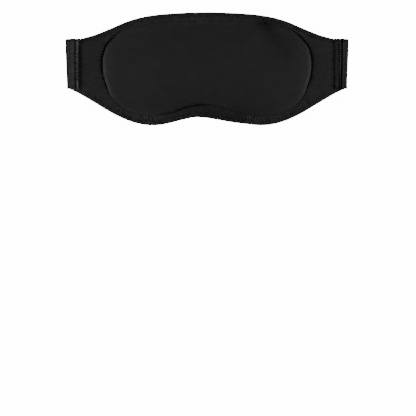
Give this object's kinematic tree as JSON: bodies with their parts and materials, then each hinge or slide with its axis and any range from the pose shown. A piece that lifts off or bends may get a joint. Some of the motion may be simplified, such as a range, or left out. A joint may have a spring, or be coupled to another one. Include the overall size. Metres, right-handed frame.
{
  "type": "sleep eye mask",
  "caption": "Padded black sleep mask with a crowned eye pad, a nose notch, flat wings edged in overlock stitching and a wide elastic strap folded behind it.",
  "frame": {"origin": "on the table, under the middle of the overall outline, with the mask lying on its folded strap, front upwards", "axes": "+X across the width, towards the long strap half's opposite end; +Y towards the brow edge; +Z out of the front of the mask"},
  "size_m": [0.25, 0.1, 0.0159],
  "materials": {
    "cover_knit": "matte smooth knit",
    "lining_knit": "matte brushed knit",
    "foam": "open-cell foam",
    "film": "thin opaque film",
    "elastic": "ribbed woven elastic",
    "thread": "twisted polyester thread",
    "hook_tape": "moulded hooks on tape",
    "loop_tape": "napped loop pile"
  },
  "bodies": {
    "mask": {"front_cover": "cover_knit", "eye_pad_foam": "foam", "base_foam": "foam", "blackout_film": "film", "back_lining": "lining_knit", "pad_seam_thread": "thread", "edge_overlock": "thread"},
    "left_wing": {"left_wing_cover": "cover_knit", "left_wing_foam": "foam", "left_wing_lining": "lining_knit", "left_wing_overlock": "thread", "left_strap_anchor": "elastic", "left_anchor_stitches": "thread"},
    "right_wing": {"right_wing_cover": "cover_knit", "right_wing_foam": "foam", "right_wing_lining": "lining_knit", "right_wing_overlock": "thread", "right_strap_anchor": "elastic", "right_anchor_stitches": "thread"},
    "left_strap": {"left_strap_fold": "elastic", "left_elastic": "elastic"},
    "left_strap_end": {"left_end_webbing": "elastic"},
    "hook_tab": {"hook_tab_webbing": "elastic", "hook_patch": "hook_tape", "hook_patch_stitches": "thread"},
    "right_strap": {"right_strap_fold": "elastic", "right_elastic": "elastic"},
    "right_strap_end": {"right_end_webbing": "elastic", "loop_patch": "loop_tape", "loop_patch_stitches": "thread"}
  },
  "joints": [
    {"name": "left_strap_unfold", "type": "hinge", "parent": "left_wing", "child": "left_strap", "pos_m": [-0.1243, 0.0045, 0.00522], "axis": [0, 1, 0], "range_deg": [0, 175], "deforming": ["left_strap_fold"]},
    {"name": "left_strap_stretch", "type": "slide", "parent": "left_strap", "child": "left_strap_end", "axis": [1, 0, 0], "range_m": [0, 0.06], "stiffness_N_per_m": 60, "deforming": ["left_elastic"]},
    {"name": "hook_tab_peel", "type": "hinge", "parent": "left_strap_end", "child": "hook_tab", "pos_m": [0.044, 0.0045, 0], "axis": [0, 1, 0], "range_deg": [0, 90]},
    {"name": "left_wing_flex", "type": "hinge", "parent": "mask", "child": "left_wing", "pos_m": [-0.098, 0.0045, 0.0053], "axis": [0, -1, 0], "range_deg": [0, 60]},
    {"name": "right_wing_flex", "type": "hinge", "parent": "mask", "child": "right_wing", "pos_m": [0.098, 0.0045, 0.0053], "axis": [0, 1, 0], "range_deg": [0, 60]},
    {"name": "right_strap_unfold", "type": "hinge", "parent": "right_wing", "child": "right_strap", "pos_m": [0.1243, 0.0045, 0.00698], "axis": [0, -1, 0], "range_deg": [0, 175], "deforming": ["right_strap_fold"]},
    {"name": "right_strap_stretch", "type": "slide", "parent": "right_strap", "child": "right_strap_end", "axis": [-1, 0, 0], "range_m": [0, 0.028], "stiffness_N_per_m": 120, "deforming": ["right_elastic"]}
  ],
  "couplings": [
    {"joint": "left_wing_flex", "follows": "left_strap_unfold", "ratio": 0.33333},
    {"joint": "right_strap_unfold", "follows": "left_strap_unfold", "ratio": 1},
    {"joint": "right_wing_flex", "follows": "left_strap_unfold", "ratio": 0.33333}
  ]
}
